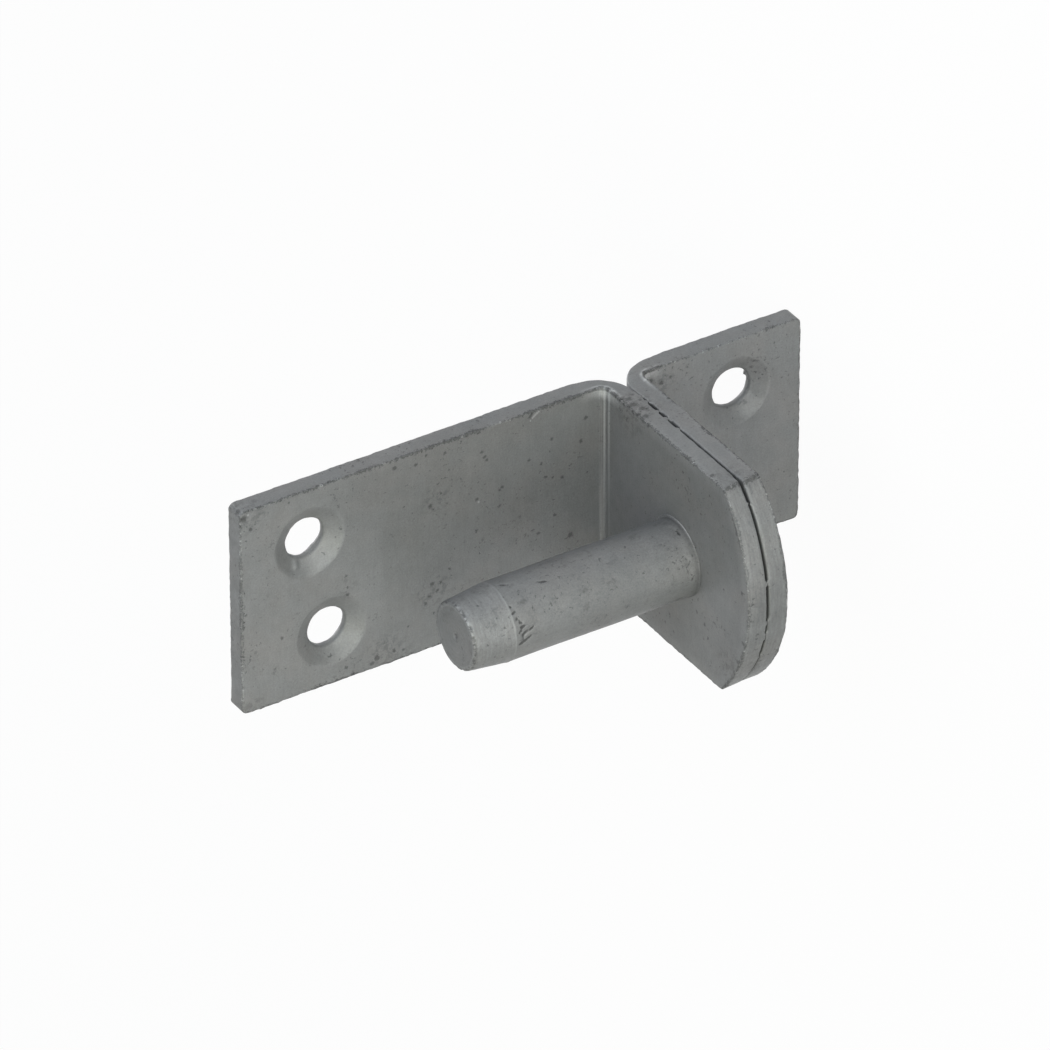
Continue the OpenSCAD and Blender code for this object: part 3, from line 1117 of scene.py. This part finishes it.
# %% Marks on the strips
BRIGHT_MARKS = [
    (18.5, 21.5, 13.1, 0.17), (18.7, 21.5, 12.85, 0.2), (18.9, 21.5, 12.6, 0.22),
    (19.1, 21.5, 12.3, 0.2), (19.3, 21.5, 12.0, 0.17), (18.1, 21.5, 13.5, 0.15),
    (6.4, 21.5, 23.1, 0.2), (19.0, 21.6, 65.0, 0.2),
]
PLATE_MARKS = [
    (1.3, 21.5, 47.4, 0.3), (-2.3, 21.5, 47.2, 0.3), (-0.9, 21.5, 47.1, 0.22),
    (-16.9, 21.5, 42.8, 0.4), (-16.1, 21.5, 41.9, 0.45), (-17.5, 21.5, 46.3, 0.35),
    (-6.1, 21.5, 59.2, 0.3), (0.5, 21.5, 65.6, 0.25), (16.1, 21.5, 64.5, 0.3),
    (18.6, 21.5, 57.6, 0.28), (17.7, 21.5, 29.2, 0.28), (15.5, 21.5, 22.5, 0.28),
    (14.4, 21.5, 21.9, 0.3), (13.7, 21.5, 21.6, 0.25), (10.9, 21.5, 13.8, 0.28),
    (9.4, 21.5, 11.6, 0.25), (15.1, 21.5, 3.4, 0.36), (11.1, 21.5, 4.3, 0.34),
    (6.9, 21.5, 23.5, 0.3), (8.8, 21.5, 32.0, 0.32), (10.5, 21.5, 30.0, 0.25),
    (4.3, 21.5, 19.3, 0.3), (7.2, 21.5, 19.2, 0.25), (7.6, 21.5, 18.8, 0.25),
    (6.6, 21.5, 10.8, 0.3), (6.1, 21.5, 9.4, 0.25), (5.4, 21.5, 7.7, 0.3), (-5.9, 21.5, 6.2, 0.45),
    (-1.2, 21.5, 9.0, 0.28), (1.2, 21.5, 23.6, 0.3), (-3.5, 21.5, 12.0, 0.28),
    (18.5, 21.5, 32.7, 0.28), (17.4, 21.5, 34.6, 0.28), (18.2, 21.5, 38.5, 0.34),
    (18.8, 21.5, 13.7, 0.3), (19.2, 21.6, 13.3, 0.3), (19.0, 21.5, 13.5, 0.3),
    (18.6, 21.5, 65.8, 0.6), (19.4, 22.6, 66.2, 0.5), (13.3, 21.5, 9.6, 0.28),
    (-5.9, 21.5, 31.7, 0.36), (-7.4, 21.5, 30.8, 0.32), (-8.0, 21.5, 32.3, 0.3),
    (-6.2, 21.5, 30.1, 0.28), (16.9, 21.5, -8.2, 0.5), (15.6, 21.5, -9.3, 0.4),
    (17.7, 21.5, -8.7, 0.35), (16.6, 21.5, -10.6, 0.3), (17.2, 21.5, -12.3, 0.3),
    (-7.3, -5.4, 0.0, 0.3), (-8.4, -7.7, 0.0, 0.3), (-10.4, -8.6, 0.0, 0.25),
    (3.4, -18.1, 0.0, 0.35), (1.2, -13.0, 0.0, 0.25), (-14.4, 3.7, 0.0, 0.25),
    (-14.8, 1.1, 0.0, 0.22), (19.6, 18.2, -0.3, 0.4), (19.6, 17.0, -0.5, 0.5),
    (19.5, 15.8, -0.3, 0.45), (19.6, 14.6, -0.4, 0.45), (19.5, 13.2, -0.2, 0.4),
    (19.6, 11.9, -0.3, 0.4), (19.5, 10.4, -0.2, 0.35), (19.5, 8.8, -0.1, 0.32),
    (19.8, 17.2, -2.5, 0.35), (19.8, 15.2, -2.7, 0.3), (19.8, 12.6, -2.3, 0.25),
    (19.8, -8.6, -0.6, 0.4), (19.8, 16.4, -1.3, 0.5), (19.8, 14.6, -1.2, 0.6),
    (19.8, 13.0, -1.6, 0.5), (19.8, 10.9, -0.9, 0.5), (-9.1, 21.5, 32.9, 0.3),
    (-11.5, 21.5, 31.4, 0.25), (-4.2, 21.5, 28.5, 0.25), (-12.2, 21.5, 36.2, 0.25),
    (-15.8, 21.5, 38.8, 0.35), (-16.3, 21.5, 37.0, 0.3), (-15.9, 21.5, 47.6, 0.3),
    (-4.1, -19.7, -1.9, 0.3), (-5.0, -19.3, -1.9, 0.28), (-5.8, -19.0, -1.9, 0.24),
    (-5.7, -18.5, -0.1, 0.35), (-10.0, -17.1, -0.1, 0.4), (-12.5, -16.4, -0.1, 0.4),
    (-16.6, -13.8, -0.2, 0.5), (-9.9, -17.8, -4.1, 0.3), (-11.1, -17.4, -4.1, 0.25),
]
MARK_SWAY = 0.4

def marks(wire, where, places, sway=0.0):
    """Marks at those places, each with a radius: 1 in a mark, 0 away from it."""
    inside = None
    for x, y, z, radius in places:
        middle = (x + sway, y + sway, z + sway)
        part = wire.vector("DISTANCE", where, middle, out="Value") * (1 / radius)
        inside = part if inside is None else wire.math("MINIMUM", inside, part)
    return 1 - inside.step(0.5, 1.5)


print("marks:", len(PLATE_MARKS), "dark and", len(BRIGHT_MARKS), "bright")

# %% [markdown]
# ## Wear on the strips
# Zinc wears through on the arrises first, in dark dashes and blotches with a few bright chips.
# A shader could look for sharp edges by itself, but what it finds depends on how fine the mesh is.
# The mesh already tells how far a point is from the front arris, and noise makes that ragged.

# %% Worn arrises
WORN_REACH, CHIP_REACH = (0.15, 0.33), (0.2, 0.4)

def arris_wear(wire, place):
    """Way from the front arris, worn dark parts, how dark they are, and bright chips."""
    edge, depth, cut, ends = (wire.attribute(name) for name in ("edge", "depth", "cut", "ends"))
    front = wire.math("SQRT", edge ** 2.0 + depth ** 2.0)
    dash = wire.noise(place, 1.8, 5.0, 0.75)
    busy = wire.noise(place, 0.16, 2.0, 0.5)
    ragged = front + (0.5 - dash) * 3.2 - (busy - 0.5) * 1.7
    worn = (1 - ragged.step(*WORN_REACH)) * (1 - cut * 0.3)
    patchy = wire.noise(place, 2.6, 4.0, 0.8).step(0.38, 0.62) * 0.7 + 0.55
    corner = 1 - (ends + (0.5 - dash) * 3.4).step(0.1, 0.6)
    kept = (1 - worn * patchy * (0.2 + busy * 0.5)) * (1 - corner * 0.5)
    flake = wire.noise(place, 1.1, 3.0, 0.7) + cut * 0.05
    chip = (1 - front.step(*CHIP_REACH)) * flake.step(0.58, 0.63) * (1 - worn)
    return front, worn, kept, chip


print("wear reaches", WORN_REACH[1], "mm from an arris, and chips", CHIP_REACH[1], "mm")

# %% [markdown]
# In the fold the tool left fine ridges with furrows beside them, which fade on the way down. The
# relief alone shows them too weakly, so the tone paints them in: the bright lines on the ridges are
# painted highlights, and the dark lines beside them and a darker band where they fade are painted
# shade in the crease. The tone follows the same angle as the relief, with a painted highlight as a
# bright crescent where the fold meets the edge. Each line has its place in degrees, a width and a
# strength.

# %% Painted light and shade in the fold, and tone of the cut edge
# bright lines: painted highlights on the ridges; dark lines: painted shade in the furrows
BRIGHT_TOOL_LINES_AND_HIGHLIGHTS = [(57, 7, 0.35), (97, 6, 0.7)]
DARK_TOOL_LINES_AND_SHADE = [(24, 9, 0.3), (38, 10, 0.4), (82, 10, 0.22)]
SHEARED = (0.12, 0.12, 1.0)

def line(wire, place, width):
    """A soft line: 1 where the wire is at that place, 0 away from it."""
    return 1 - wire.math("ABSOLUTE", wire - place).step(width * 0.3, width)


def lines(fold, table):
    first, *others = (line(fold, turn, width) * share for turn, width, share in table)
    return sum(others, first)


def fold_lines_and_painted_light(wire, place, front):
    """What multiplies the tone in the fold, with its painted highlights and shade: 1 elsewhere."""
    fold, x = wire.attribute("fold"), wire.node("ShaderNodeSeparateXYZ", {}, {"Vector": place})
    fade = x.step(-5, 14) * 0.8 + 0.2
    # the tool's lines, toned as painted highlights and painted shade
    drawn = (lines(fold, BRIGHT_TOOL_LINES_AND_HIGHLIGHTS) - lines(fold, DARK_TOOL_LINES_AND_SHADE)) * fade
    # painted shade: a darker band in the fold where the lines fade
    painted_fold_shade = (1 - fade) * line(fold, 52, 36) * 0.36
    # painted highlight: a bright crescent where the fold meets the edge
    painted_crescent_highlight = line(fold, 55, 110) * front.step(0.3, 0.6) * (1 - front.step(0.9, 2.4))
    inner = 1 - wire.attribute("depth").step(0.4, 1.2)
    return 1 + inner * (drawn + painted_crescent_highlight * 1.1 - painted_fold_shade)


def sheared_tone(wire, place):
    """What multiplies the tone of the sheared edge: fine streaks through the strip."""
    streaks = wire.noise(wire.vector("MULTIPLY", place, SHEARED), 3.0, 3.0, 0.7) - 0.5
    return 1 + wire.attribute("cut") * (streaks * 0.7 - 0.01)


print("toned lines in the fold:", len(BRIGHT_TOOL_LINES_AND_HIGHLIGHTS), "bright and", len(DARK_TOOL_LINES_AND_SHADE), "dark")

# %% [markdown]
# The strips' finish is the coat, darkened by marks, smudges, wide areas of painted shade and wear,
# with chips on top, and then the fold's painted highlights and shade. Each effect multiplies the
# tone, so they can overlap without ever turning black. Worn places are also a little lower and
# rougher.

# %% Zinc on the strips
def strip_zinc(name):
    material = bpy.data.materials.new(name)
    wire = first_wire(material)
    place, shaky, tone, relief, grain, hue = zinc_coat(wire, (0.1, 1.0, 1.0))
    front, worn, kept, chip = arris_wear(wire, place)
    chip = chip + marks(wire, place, BRIGHT_MARKS)
    spots = marks(wire, shaky, PLATE_MARKS, MARK_SWAY)
    smudge = wire.attribute("smudged") * wire.noise(shaky, 0.9, 4.0, 0.75).step(0.47, 0.6)
    # dark marks and smudges, and as the last factor the wide areas of painted shade
    dirt = (1 - spots * 0.5) * (1 - smudge * 0.26) * (1 - wire.attribute("dull") * 0.13)
    tone = tone * dirt * kept + chip * 0.12
    tone = tone * sheared_tone(wire, place) * fold_lines_and_painted_light(wire, place, front)
    rough = DULLNESS + grain * 0.2 + worn * 0.15
    dull_metal(tone, hue, rough, relief - worn * 1.4 + chip * 0.6)
    return material


strip_finish = strip_zinc("galvanised_strip_zinc")

# %% [markdown]
# ## Wear on the pin
# The pin has the same coat. Dirt has settled in its nicks, stains spread round it, and the rim of
# its flat end shows dark hollows beside bright chips. The lead is brushed and lighter, with a
# darker broken line where it begins, and the fine ring there gets a painted highlight. The end face
# shows turning rings round a dark centre and is lifted a little as painted light. The mesh's own
# measures carry most of this, so the marks stay where the dents are.

# %% Nicks, stains and the end face
END_FACE = (PIN_LEN - 0.6, PIN_LEN - 0.3)

def stains(dash, nick, lead):
    """Dirt in the nicks with a darker broken line where the lead begins, and that line itself."""
    ring = line(lead, 0.5, 0.5)
    dirt = (nick + (dash - 0.5) * 2.0).step(0.25, 0.7)
    return dirt + (ring + dash).step(1.2, 1.35) * 0.5, ring


def end_tone(wire, x, y, z):
    """What multiplies the tone on the flat end: turning rings, a dark centre, and a lift as painted
    light.
    """
    reach = wire.math("SQRT", x * x + y * y)
    rings = wire.node("ShaderNodeCombineXYZ", {}, {0: reach, 1: x * 0.1})
    turned = wire.noise(rings, 2.5, 2.0, 0.6) - 0.5
    centre = 1 - reach.step(0.2, 0.6)
    # the 0.05 lifts the whole end face as painted light
    return 1 + z.step(*END_FACE) * (turned * 0.35 + 0.05 - centre * 0.4)


print("the end face begins at z =", [round(z, 2) for z in END_FACE], "mm")

# %% [markdown]
# The pin's finish adds those to the coat. The streaks of the brushed lead run round the pin, since
# that is how it was turned, and a few wide smears come from the strap's eye and from hands. It also
# paints light and shade: lighter near the root and darker higher up the shank, a highlight on the
# collar's bead with shade in the gutter above it, and a highlight on the ring where the lead
# begins.

# %% Zinc on the pin
def pin_zinc(name):
    material = bpy.data.materials.new(name)
    wire = first_wire(material)
    place, _, tone, relief, grain, hue = zinc_coat(wire, (1.0, 1.0, 0.12))
    nick, lead, rim, seat = (wire.attribute(part) for part in ("nick", "lead", "rim", "seat"))
    x = wire.node("ShaderNodeSeparateXYZ", {}, {"Vector": place})
    y, z = x.also("Y"), x.also("Z")
    around = wire.node("ShaderNodeCombineXYZ", {}, {0: x * 0.15, 1: y * 0.15, 2: z})
    brushed = wire.noise(around, 2.2, 3.0, 0.6) - 0.5
    dash = wire.noise(place, 1.1, 4.0, 0.6)
    hollow, chip = rim * dash.step(0.48, 0.58), rim * (1 - dash).step(0.54, 0.6)
    smear = wire.noise(place, 0.32, 5.0, 0.7).step(0.54, 0.7)
    stain, ring = stains(dash, nick, lead)
    tone = tone * (1 + lead * (brushed * 0.6 + 0.03)) * (1 - smear * 0.3)
    # painted light and shade: lighter near the root, darker from 4 to 14 mm up, a little less dark
    # above 26 mm
    tone = tone * (1.05 - z.step(4, 14) * 0.1 + z.step(14, 26) * 0.03)
    # ring * 0.08 is a painted highlight on the fine ring where the lead begins
    tone = tone * (1 - stain * 0.65) * (1 - hollow * 0.6) + chip * 0.05 + ring * 0.08
    # the collar measure paints a highlight on the bead and shade in the gutter
    tone = tone * (1 + seat * 0.3) * end_tone(wire, x, y, z)
    rough = DULLNESS + grain * 0.2
    dull_metal(tone, hue, rough, relief - hollow * 1.2 + lead * brushed * 0.8)
    return material


pin_finish = pin_zinc("galvanised_pin_zinc")

# %% [markdown]
# ## The pieces take the solids' place
# On the real part nothing moves, so each piece takes its finish, rides on the one rigid body and
# stands for its CAD node. Each row also names a material slot of the record, which the loop leaves
# unused.

# %% Finish, body and node of each piece
for piece, finish, node, slot in (
    (upper, strip_finish, "upper_leaf", "galvanised_strip"),
    (lower, strip_finish, "lower_leaf", "galvanised_strip"),
    (pin, pin_finish, "hinge_pin", "galvanised_pin"),
):
    piece.data.materials.append(finish)
    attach(piece, "root")
    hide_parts(node)
    print(piece.name, "shows", finish.name, "and replaces", node)

# %% [markdown]
# A photograph of white on white needs true tones. A filmic view would soften the white floor to
# grey, so the plain one is set.

# %% View settings
bpy.context.scene.view_settings.view_transform = "Standard"
print("view transform:", bpy.context.scene.view_settings.view_transform)

# %% [markdown]
# The CAD box is kept, and every point of the dressed pieces is held inside it, so the dressed part
# is never larger than the solids.
